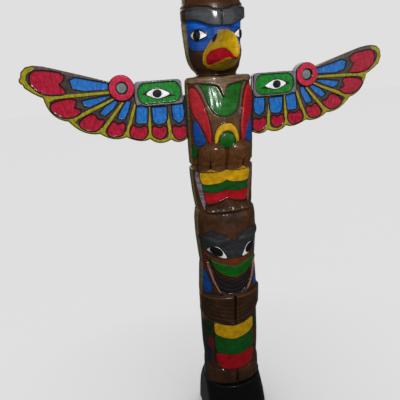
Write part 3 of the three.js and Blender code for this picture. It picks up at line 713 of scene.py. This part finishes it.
# Softwood stained dark brown, painted by hand with satin colours and varnished: the stain pools dark in the
# cuts and is rubbed pale on the edges, which also paints shade into the cuts and highlights onto the edges,
# and the brush leaves fine streaks across each field.
PAINTS = [
    # Field, its two tones, how far its edge wanders and how wide the dark line round it is, in millimetres
    ("taupe", "#5e4a36", "#8c6c4e", 0.4, 0),
    # The left bevel's pale grey-violet is a painted highlight
    ("left_bevel_highlight", "#5c545c", "#a8a0ac", 0.6, 0),
    ("rust", "#642b0a", "#84400e", 0.8, 0),
    ("maroon", "#561513", "#72221e", 0.6, 0),
    ("ash", "#171213", "#2d2526", 0.5, 0.8),
    ("slate", "#26282b", "#3a3d40", 0.5, 1.8),
    # Painted shade: the low side patches' blue and green, darkened
    ("shaded_side_blue", "#06162e", "#0c2444", 0.8, 0),
    ("shaded_side_green", "#022a08", "#063a12", 0.8, 0),
    ("blue", "#003f94", "#0057b4", 0.3, 1.8),
    ("leaf", "#005a08", "#007412", 0.3, 1.8),
    ("pine", "#004c10", "#00641a", 0.3, 1.8),
    ("yellow", "#d09e00", "#e6b200", 0.3, 1.8),
    ("red", "#a8000f", "#c6051c", 0.3, 1.8),
    # The beak's yellow is lighter than the yellow elsewhere: a lit copy, painted light for sides that face
    # away from the lamps
    ("beak", "#e6b000", "#f8c800", 0.3, 1.8),
    ("mouth", "#cc001a", "#e80e2a", 0.3, 0),
    ("nostril", "#0c0806", "#160f0b", 0.3, 0),
    # Painted highlight along the lips' raised edges
    ("lip_edge_highlight", "#845048", "#b88478", 0.3, 0.8),
    ("cut", "#0c0806", "#160f0b", 0.3, 0),
    ("white", "#b8b6b6", "#dad8da", 0.2, 3.0),
    ("pupil", "#050506", "#0b0b0c", 0.2, 0),
    ("olive", "#4c4024", "#786942", 1.5, 0),
    ("tan", "#62563a", "#928464", 1.5, 0),
    ("black_low_flank", "#060504", "#0c0a08", 1.5, 0),
]
STAIN_DARK, STAIN_MIDDLE, STAIN_WARM = "#1e1009", "#3a2211", "#7c4a1e"
# Tones of the dark lines, of the edges rubbed pale as painted highlight, and of the cuts pooled dark as
# painted shade
LINE_TONE, RUBBED_HIGHLIGHT_TONE, POOLED_SHADE_TONE = "#0c0806", "#6a5034", "#0e0806"
# The stain is blotched about every 70 mm, and a painted edge wanders about every 17 mm
STAIN_BLOTCHES_PER_METRE, EDGE_WANDERS_PER_METRE = 14.0, 60.0
# The varnish lies in shallow dimples about 8 mm across, which break up its bright spots
DIMPLES_PER_METRE = 120


def painted_wood(name, paints, grain, strokes):
    """Varnished painted softwood: grain and strokes are the lattices per metre along x, y and z."""
    wood, shader = new_material(name)
    shader.inputs["IOR"].default_value = 1.5
    shader.inputs["Specular IOR Level"].default_value = 0.1
    shader.inputs["Coat Weight"].default_value = 0.22
    shader.inputs["Coat Roughness"].default_value = 0.13
    place = add_node(wood, "ShaderNodeTexCoord").outputs["Object"]
    grain_stretch = add_node(wood, "ShaderNodeMapping", {"Scale": grain}, {"Vector": place})
    grain_noise = add_node(wood, "ShaderNodeTexNoise", {"Scale": 1.0, "Detail": 5.0, "Distortion": 0.4},
                           {"Vector": grain_stretch.outputs["Vector"]}).outputs["Fac"]
    stroke_stretch = add_node(wood, "ShaderNodeMapping", {"Scale": strokes}, {"Vector": place})
    stroke_noise = add_node(wood, "ShaderNodeTexNoise", {"Scale": 1.0, "Detail": 3.0},
                            {"Vector": stroke_stretch.outputs["Vector"]}).outputs["Fac"]
    patch_noise = add_node(wood, "ShaderNodeTexNoise", {"Scale": STAIN_BLOTCHES_PER_METRE, "Detail": 3.0},
                           {"Vector": place}).outputs["Fac"]
    wander_noise = add_node(wood, "ShaderNodeTexNoise", {"Scale": EDGE_WANDERS_PER_METRE, "Detail": 2.0},
                            {"Vector": place}).outputs["Fac"]
    wander = add_node(wood, "ShaderNodeMath", {"operation": "SUBTRACT", 1: 0.5}, {0: wander_noise}).outputs[0]
    warmth = add_node(wood, "ShaderNodeAttribute", {"attribute_name": "warmth"}).outputs["Fac"]
    crest = add_node(wood, "ShaderNodeAttribute", {"attribute_name": "crest"}).outputs["Fac"]

    # Bare wood: dark grain lines in a stain that is warm or dark by height and by blotches
    spread = add_node(wood, "ShaderNodeMath", {"operation": "MULTIPLY_ADD", 1: 1.6, 2: -0.8},
                      {0: patch_noise}).outputs[0]
    warm_share = add_node(wood, "ShaderNodeMath", {"operation": "ADD", "use_clamp": True},
                          {0: warmth, 1: spread}).outputs[0]
    stain = add_node(wood, "ShaderNodeMix",
                     {"data_type": "RGBA", 6: linear(STAIN_MIDDLE), 7: linear(STAIN_WARM)},
                     {0: warm_share}).outputs[2]
    grain_share = add_node(wood, "ShaderNodeMapRange", {"From Min": 0.3, "From Max": 0.62, "To Min": 0.5},
                           {"Value": grain_noise})
    colour = add_node(wood, "ShaderNodeMix", {"data_type": "RGBA", 6: linear(STAIN_DARK)},
                      {0: grain_share.outputs["Result"], 7: stain}).outputs[2]
    tone_share = add_node(wood, "ShaderNodeMapRange", {"From Min": 0.32, "From Max": 0.68},
                          {"Value": stroke_noise}).outputs["Result"]
    # Each paint covers what lies under it, inside its dark line
    for field, deep, bright, wandering, line_width in paints:
        depth = add_node(wood, "ShaderNodeAttribute", {"attribute_name": field}).outputs["Fac"]
        edge = add_node(wood, "ShaderNodeMath", {"operation": "MULTIPLY_ADD", 1: 2 * wandering},
                        {0: wander, 2: depth}).outputs[0]
        if line_width:
            lined = add_node(wood, "ShaderNodeMapRange",
                             {"From Min": -line_width - 0.5, "From Max": 0.5 - line_width}, {"Value": edge})
            colour = add_node(wood, "ShaderNodeMix", {"data_type": "RGBA", 7: linear(LINE_TONE)},
                              {0: lined.outputs["Result"], 6: colour}).outputs[2]
        cover = add_node(wood, "ShaderNodeMapRange", {"From Min": -0.45, "From Max": 0.45}, {"Value": edge})
        paint = add_node(wood, "ShaderNodeMix", {"data_type": "RGBA", 6: linear(deep), 7: linear(bright)},
                         {0: tone_share}).outputs[2]
        colour = add_node(wood, "ShaderNodeMix", {"data_type": "RGBA"},
                          {0: cover.outputs["Result"], 6: colour, 7: paint}).outputs[2]
    # Edges are rubbed pale and dark stain has pooled in the cuts, which is also painted highlight on the
    # edges and painted shade in the cuts
    rubbed_and_highlit = add_node(wood, "ShaderNodeMapRange", {"From Min": 0.8, "From Max": 2.0, "To Max": 0.16},
                      {"Value": crest}).outputs["Result"]
    colour = add_node(wood, "ShaderNodeMix", {"data_type": "RGBA", 7: linear(RUBBED_HIGHLIGHT_TONE)},
                      {0: rubbed_and_highlit, 6: colour}).outputs[2]
    pooled_and_shaded = add_node(wood, "ShaderNodeMapRange", {"From Min": -0.5, "From Max": -1.8, "To Max": 0.7},
                      {"Value": crest}).outputs["Result"]
    colour = add_node(wood, "ShaderNodeMix", {"data_type": "RGBA", 7: linear(POOLED_SHADE_TONE)},
                      {0: pooled_and_shaded, 6: colour}).outputs[2]
    rough = add_node(wood, "ShaderNodeMapRange", {"To Min": 0.4, "To Max": 0.6}, {"Value": patch_noise})
    dimples = add_node(wood, "ShaderNodeTexNoise", {"Scale": DIMPLES_PER_METRE, "Detail": 2.0},
                       {"Vector": place})
    surface = add_node(wood, "ShaderNodeMath", {"operation": "MULTIPLY_ADD", 1: 0.2},
                       {0: grain_noise, 2: dimples.outputs["Fac"]}).outputs[0]
    bump = add_node(wood, "ShaderNodeBump", {"Strength": 0.6, "Distance": 0.0011}, {"Height": surface})
    for socket, source in (("Base Color", colour), ("Roughness", rough.outputs["Result"]),
                           ("Normal", bump.outputs["Normal"])):
        wood.node_tree.links.new(source, shader.inputs[socket])
    return wood


# Grain runs up the log in lines about 3 mm apart, and brush strokes run across it about 4 mm apart
TRUNK_GRAIN, TRUNK_STROKES = (330, 330, 10), (30, 30, 260)
carved_pole.data.materials.append(painted_wood("stained_painted_trunk", PAINTS, TRUNK_GRAIN, TRUNK_STROKES))
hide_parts("pole")
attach(carved_pole, "root")

# The wings: two sawn boards fixed to the trunk's flanks, each with an eye panel, a ring and a rib between
# every two feathers left standing, the feathers' rims chamfered, all painted between black lines. They are
# drawn from the front as the trunk is, in millimetres.
WING_ROOT = 98.5
WING_TIP = 553.0
WING_FACE = 4.0
WING_THICKNESS = 28.0
RIM_CHAMFER, TOP_CHAMFER = 5.0, 1.6
RING_CENTRE = (287.0, 1232.0)
RING_RADIUS, RING_HOLE_RADIUS = 36.0, 16.0
VALLEYS = [(502, 1220), (445, 1151), (363, 1108), (289, 1091), (220, 1079), (156, 1071), (96, 1076)]
SCALLOPS = [(495, 1161), (412, 1105), (328, 1079), (246, 1066), (192, 1052), (130, 1048)]
RIB_ROOTS = [(318, 1222), (311, 1203), (289, 1190), (252, 1188), (215, 1174), (164, 1171)]
WING_TOP = [(300, 1246), (318, 1251), (395, 1275), (455, 1293), (490, 1303), (515, 1307), (534, 1304),
            (548, 1292), (553, 1272)]
# The board's top edge is straight between panel and ring, and outside the ring rises with the top feather
BOARD_TOP = 1198.0
RING_OUTER_SIDE, FEATHERS_FROM = 300, 318
# The lower feathers lie below this line, given as distances and heights, and the tip starts at this distance
LOWER_FEATHERS_BELOW = ([98, 318, 554], [1180, 1225, 1262])
TIP_FROM = 512
RIB_HALF_WIDTH, RIB_WIDENING, RIB_FLARE = 3.0, 2.6, 11
# The olive border round the feathers, wider at the tip, the dark rim outside it, and the bark-brown top edge
BORDER_WIDTH, TIP_BORDER_EXTRA = 11.5, 3
# The dark rim on the lower feathers' chamfer is yellow worn thin, and painted darker as shade for an edge
# that faces down
RIM_WIDTH = 3.6
BARK_WIDTH = 8.5
WING_TIP_LOW = [(502, 1220), (515, 1227), (528, 1235), (546, 1250), (553, 1272)]
# A small knob stands out at the left wing's tip alone
KNOB_CENTRE, KNOB_RADIUS = (547.0, 1269.0), 10.0
# Panel and the sunk field in it: from, to, lowest, highest. The board's own edge rises to the panel's top
# 3 mm further out.
PANEL, PANEL_CORNER = (109, 252, 1176, 1246), 14
PANEL_FIELD, FIELD_CORNER = (118, 242, 1182, 1240), 24
PANEL_TOP_FROM = PANEL[0] + 3
WING_EYE = [(146, 1206), (166, 1217), (183, 1224), (205, 1220), (222, 1209), (200, 1199), (185, 1194),
            (165, 1199)]
WING_EYE_CORNERS = [(124, 1199), (150, 1205), (166, 1219), (183, 1227), (205, 1223), (236, 1209),
                    (218, 1206), (200, 1197), (185, 1191), (163, 1196), (146, 1199)]
WING_PUPIL, WING_EYEBALL = (187, 1209.5, 13.5, 12, 12), (187, 1210, 16, 14)
# Each feather from the tip inwards: its red end with a notch, and its blue heart
RED_ENDS = [
    [(521, 1291), (485, 1290), (440, 1279), (444, 1262), (460, 1256), (446, 1240), (440, 1228), (491, 1229),
     (514, 1242), (528, 1262)],
    [(486, 1193), (481, 1203), (448, 1211), (418, 1210), (421, 1194), (430, 1187), (404, 1178), (425, 1165),
     (453, 1163), (478, 1178)],
    [(416, 1142), (399, 1158), (373, 1166), (365, 1146), (345, 1147), (362, 1126), (382, 1118), (408, 1129)],
    [(343, 1112), (321, 1142), (311, 1128), (289, 1134), (294, 1112), (304, 1098), (335, 1100)],
    [(277, 1100), (268, 1126), (252, 1112), (228, 1119), (226, 1098), (241, 1082), (268, 1087)],
    [(211, 1096), (206, 1117), (191, 1105), (170, 1115), (170, 1093), (185, 1076), (206, 1086)],
    [(150, 1095), (146, 1113), (129, 1102), (110, 1110), (107, 1085), (122, 1070), (139, 1073)],
]
BLUE_HEARTS = [
    [(425, 1262), (410, 1268), (384, 1261), (325, 1247), (324, 1233), (388, 1231), (420, 1240)],
    [(400, 1204), (341, 1212), (320, 1212), (352, 1197), (384, 1186), (396, 1193)],
    [(355, 1168), (337, 1185), (309, 1199), (302, 1194), (318, 1176), (343, 1158)],
    [(308, 1148), (294, 1173), (276, 1196), (266, 1193), (275, 1167), (288, 1144)],
    [(256, 1133), (251, 1128), (224, 1128), (218, 1170), (237, 1179), (250, 1175)],
    [(206, 1170), (205, 1130), (193, 1121), (170, 1124), (164, 1137), (162, 1169)],
    [(146, 1172), (145, 1133), (129, 1119), (114, 1130), (110, 1155), (112, 1173)],
]
# Places along the board, heights on each of them in front, closer at the edges, and heights on the back
COLUMNS, FRONT_ROWS, EDGE_CROWDING, BACK_ROWS = 330, 96, 0.35, 10
SCALLOP_STEPS = 24
TIP_CLEARANCE = 0.4
# Long plane marks and short ones between them run out along the board
WING_MARKS = [(0.22, 30, 7, 5), (0.12, 9, 4, 6)]
WING_WARMTH = 0.3
WING_PAINTS = [
    ("gap", "#241d1b", "#40362f", 0.4, 0),
    ("border", "#6d650c", "#948814", 0.3, 1.5),
    # The rim: worn yellow, darkened as painted shade
    ("rim", "#3f3519", "#5c4f28", 0.4, 0),
    ("bark", "#3c302a", "#5c4e47", 0.4, 0),
    ("panel", "#4c484e", "#6e6a70", 0.4, 3.0),
    ("green", "#04500c", "#187826", 0.3, 2.4),
    ("blue", "#0a4488", "#1c68ac", 0.3, 4.6),
    ("red", "#700216", "#a40c30", 0.3, 4.6),
    ("ring", "#860a20", "#b41a40", 0.3, 2.5),
    ("disc", "#4e5c5a", "#6a7a78", 0.3, 3.5),
    ("cut", "#080707", "#121010", 0.3, 0),
    ("white", "#bcb8be", "#dedce0", 0.2, 2.5),
    ("pupil", "#060508", "#0e0d10", 0.2, 0),
]


def inside_rounded_box(box, corner, x, z):
    """How far each point lies inside a box with rounded corners."""
    over_x = np.abs(x - (box[0] + box[1]) / 2) - (box[1] - box[0]) / 2 + corner
    over_z = np.abs(z - (box[2] + box[3]) / 2) - (box[3] - box[2]) / 2 + corner
    outside_corner = np.hypot(np.maximum(over_x, 0), np.maximum(over_z, 0))
    return corner - np.minimum(np.maximum(over_x, over_z), 0) - outside_corner


def wing_low_line():
    """The scalloped lower edge, from the trunk to the tip."""
    points = []
    for near, far, dip in zip(VALLEYS[:0:-1], VALLEYS[-2::-1], SCALLOPS[::-1]):
        for t in np.linspace(0, 1, SCALLOP_STEPS, endpoint=False):
            points.append([(1 - t) ** 2 * a + 2 * t * (1 - t) * d + t * t * b
                           for a, d, b in zip(near, dip, far)])
    return np.array(points + WING_TIP_LOW)


def wing_edges(side):
    """Columns from the root to the tip, closest at the tip, and the heights of both edges on each."""
    low_line, top_line = wing_low_line(), np.array(WING_TOP, float)
    tip = (KNOB_CENTRE[0] + KNOB_RADIUS if side < 0 else WING_TIP) - TIP_CLEARANCE
    share = np.linspace(0, 1, COLUMNS)
    columns = WING_ROOT + (tip - WING_ROOT) * (1 - (1 - share) ** 1.35)
    low = np.interp(columns, low_line[:, 0], low_line[:, 1])
    ring_x = np.clip((columns - RING_CENTRE[0]) / (RING_RADIUS + 0.5), -1, 1)
    ring_top = np.where(np.abs(ring_x) < 1, RING_CENTRE[1] + RING_RADIUS * np.sqrt(1 - ring_x ** 2), 0)
    to_panel_side = np.minimum(columns - PANEL_TOP_FROM, PANEL[1] - columns)
    panel_corner = np.clip((PANEL_CORNER - to_panel_side) / PANEL_CORNER, 0, 1)
    panel_top = np.where(to_panel_side > 0, PANEL[3] - PANEL_CORNER * (1 - np.sqrt(1 - panel_corner ** 2)), 0)
    feather_top = np.where(columns > FEATHERS_FROM, np.interp(columns, top_line[:, 0], top_line[:, 1]), 0)
    top = np.maximum.reduce([np.full(columns.shape, BOARD_TOP), ring_top, panel_top, feather_top])
    top = np.where(columns > RING_OUTER_SIDE, np.maximum(ring_top, feather_top), top)
    if side < 0:
        knob_half = np.sqrt(np.clip(KNOB_RADIUS ** 2 - (columns - KNOB_CENTRE[0]) ** 2, 0, None))
        low = np.where(knob_half > 0, np.minimum(low, KNOB_CENTRE[1] - knob_half), low)
        top = np.where(knob_half > 0, np.maximum(top, KNOB_CENTRE[1] + knob_half), top)
    return columns, low, top


def depth_from_rim(columns, low, top, x, z):
    """How far each point lies from the board's own outline, its straight root left out."""
    outline = np.concatenate([np.stack([columns, low], 1), np.stack([columns, top], 1)[::-1]])
    nearest = np.full(x.shape, 60.0)
    for near, far in zip(outline, np.roll(outline, -1, axis=0)):
        run, rise = far - near
        if abs(run) + abs(rise) < 1e-6 or near[0] == far[0] == WING_ROOT:
            continue
        t = np.clip(((x - near[0]) * run + (z - near[1]) * rise) / (run * run + rise * rise), 0, 1)
        nearest = np.minimum(nearest, np.hypot(x - near[0] - t * run, z - near[1] - t * rise))
    return nearest


def depth_in_ribs(x, z):
    """How far each point lies inside the ribs, which widen outwards and flare at the scallops' valleys."""
    deepest = np.full(x.shape, -60.0)
    for (ax, az), (bx, bz) in zip(RIB_ROOTS, VALLEYS):
        run, rise = bx - ax, bz - az
        t = ((x - ax) * run + (z - az) * rise) / (run * run + rise * rise)
        on_line = np.clip(t, 0, 1)
        off_line = np.hypot(x - ax - on_line * run, z - az - on_line * rise)
        half_width = RIB_HALF_WIDTH + RIB_WIDENING * on_line + RIB_FLARE * smooth(0.8, 1.02, t)
        deepest = np.maximum(deepest, half_width - off_line)
    return deepest


def wing_front(x, z, from_edge):
    """How far each point of a wing's front stands out, and how deep it lies in each paint."""
    panel = inside_rounded_box(PANEL, PANEL_CORNER, x, z)
    field = inside_rounded_box(PANEL_FIELD, FIELD_CORNER, x, z)
    from_ring = np.hypot(x - RING_CENTRE[0], z - RING_CENTRE[1])
    ring, disc = RING_RADIUS - from_ring, RING_HOLE_RADIUS - from_ring
    rib = depth_in_ribs(x, z)
    reds = np.max([depth_inside(rounded(end, 1), x, z) for end in RED_ENDS], axis=0) + 0.8
    blues = np.max([depth_inside(np.array(heart, float), x, z) for heart in BLUE_HEARTS], axis=0) - 0.6
    eye = depth_inside(rounded(WING_EYE, 1), x, z)
    eye_corners = depth_inside(rounded(WING_EYE_CORNERS, 1), x, z)

    on_top = np.maximum(panel, ring)
    at_tip = x > TIP_FROM
    at_feathers = (z < np.interp(x, *LOWER_FEATHERS_BELOW)) | at_tip
    border_width = BORDER_WIDTH + TIP_BORDER_EXTRA * smooth(500, 530, x)
    border = np.where(at_feathers, border_width - from_edge, -FIELD_REACH)
    bark = np.where((x > RING_OUTER_SIDE) & ~at_feathers, BARK_WIDTH - from_edge, -FIELD_REACH)
    rim = np.where(at_feathers, RIM_WIDTH - from_edge, -FIELD_REACH)
    paints = {
        "gap": np.where(on_top > 0, -on_top, FIELD_REACH),
        "border": np.where(on_top > 0, -on_top, np.maximum(border, rib)),
        "rim": np.where(on_top > 0, -on_top, rim),
        "bark": np.where(on_top > 0, -on_top, bark),
        "panel": np.minimum(panel - 0.5, 0.5 - ring),
        "cut": np.maximum(np.minimum(eye_corners, 2.5 - eye), PANEL[0] - 0.5 - x),
        "green": np.minimum(field, -ring - 1),
        "disc": disc - 1.5,
        "blue": blues,
        "red": reds,
        "ring": ring - 1.2,
        "white": eye,
        "pupil": depth_in_oval(WING_PUPIL, x, z),
    }

    # Panel, eye, ring and ribs stand up, field, disc and feathers are cut in, by so many millimetres
    standing = (4 * smooth(-1.2, 1.2, panel) - 4 * smooth(-1.2, 1.2, field) + 1.5 * smooth(-1, 1, eye)
                + 1.5 * dome(WING_EYEBALL, x, z))
    standing = np.where(ring > -1.2, np.maximum(standing, 8 * smooth(-1.2, 1.2, ring)), standing)
    standing -= 7 * smooth(-1.2, 1.2, disc)
    feathers_in = smooth(-2, 2, np.maximum(reds, blues))
    standing += np.where(on_top < 0, 1.4 * smooth(-2, 2, rib) - 0.7 * feathers_in, 0)
    standing += tool_marks(WING_MARKS, x, z)
    chamfer = np.where(at_feathers, RIM_CHAMFER, TOP_CHAMFER)
    standing -= 0.8 * chamfer * (1 - smooth(0, 1, from_edge / chamfer))

    # The outermost points have no neighbours on one side, so they get neither the rubbed edges' highlight nor
    # the pooled cuts' shade
    crest = crests(standing, 2, 2)
    crest[:2], crest[-2:], crest[:, :2], crest[:, -2:] = 0.3, 0.3, 0, 0.3
    paints["crest"] = crest
    paints["warmth"] = np.full(x.shape, WING_WARMTH)
    return standing, paints


def spread_wing(name, side):
    """One wing as a grid that runs up the front and down the flat, bare back."""
    columns, low, top = wing_edges(side)
    even, crowded = 1 - 2 * np.linspace(0, 1, FRONT_ROWS), np.cos(np.linspace(0, math.pi, FRONT_ROWS))
    up_share = 0.5 - 0.5 * crowded * EDGE_CROWDING - 0.5 * (1 - EDGE_CROWDING) * even
    x = np.repeat(columns[None, :], FRONT_ROWS, axis=0)
    z = low[None, :] + (top - low)[None, :] * up_share[:, None]
    standing, paints = wing_front(x, z, depth_from_rim(columns, low, top, x, z))

    back_x = np.repeat(columns[None, :], BACK_ROWS, axis=0)
    back_z = low[None, :] + (top - low)[None, :] * np.linspace(1, 0, BACK_ROWS)[:, None]
    back_y = np.full(back_x.shape, WING_THICKNESS - WING_FACE)
    points = np.concatenate([
        np.stack([x, -WING_FACE - standing, z], axis=-1),
        np.stack([back_x, back_y, back_z], axis=-1),
    ])
    points[..., 0] *= side
    for key, inside in paints.items():
        on_back = {"warmth": WING_WARMTH, "crest": 0}.get(key, -FIELD_REACH)
        inside = np.clip(inside, -FIELD_REACH, FIELD_REACH)
        paints[key] = np.concatenate([inside, np.full(back_x.shape, on_back)])

    # The grid's rows run round the board, and one face closes it at the root and one at the tip
    row_count, column_count = points.shape[:2]
    index = np.arange(row_count * column_count).reshape(row_count, column_count)
    turned = np.roll(index, -1, axis=0)
    quads = np.stack([index[:, :-1], index[:, 1:], turned[:, 1:], turned[:, :-1]], axis=-1).reshape(-1, 4)
    if side < 0:
        quads = quads[:, ::-1]
    root_cap, tip_cap = index[:, 0].tolist(), index[:, -1].tolist()
    caps = [root_cap, tip_cap[::-1]] if side > 0 else [root_cap[::-1], tip_cap]
    return carved_piece(name, points, quads.tolist() + caps, paints)


# Softwood boards in a like stain and the trunk's varnish, painted by hand. Grain runs out along the board in
# lines about 3 mm apart, and brush strokes run down the feathers about 6 mm apart.
WING_GRAIN, WING_STROKES = (10, 330, 330), (160, 30, 60)
wing_wood = painted_wood("painted_wing_board", WING_PAINTS, WING_GRAIN, WING_STROKES)
for wing_name, wing_node, side in (
    ("spread_wing_left", "left_wing", -1),
    ("spread_wing_right", "right_wing", 1),
):
    wing = spread_wing(wing_name, side)
    wing.data.materials.append(wing_wood)
    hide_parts(wing_node)
    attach(wing, "root")
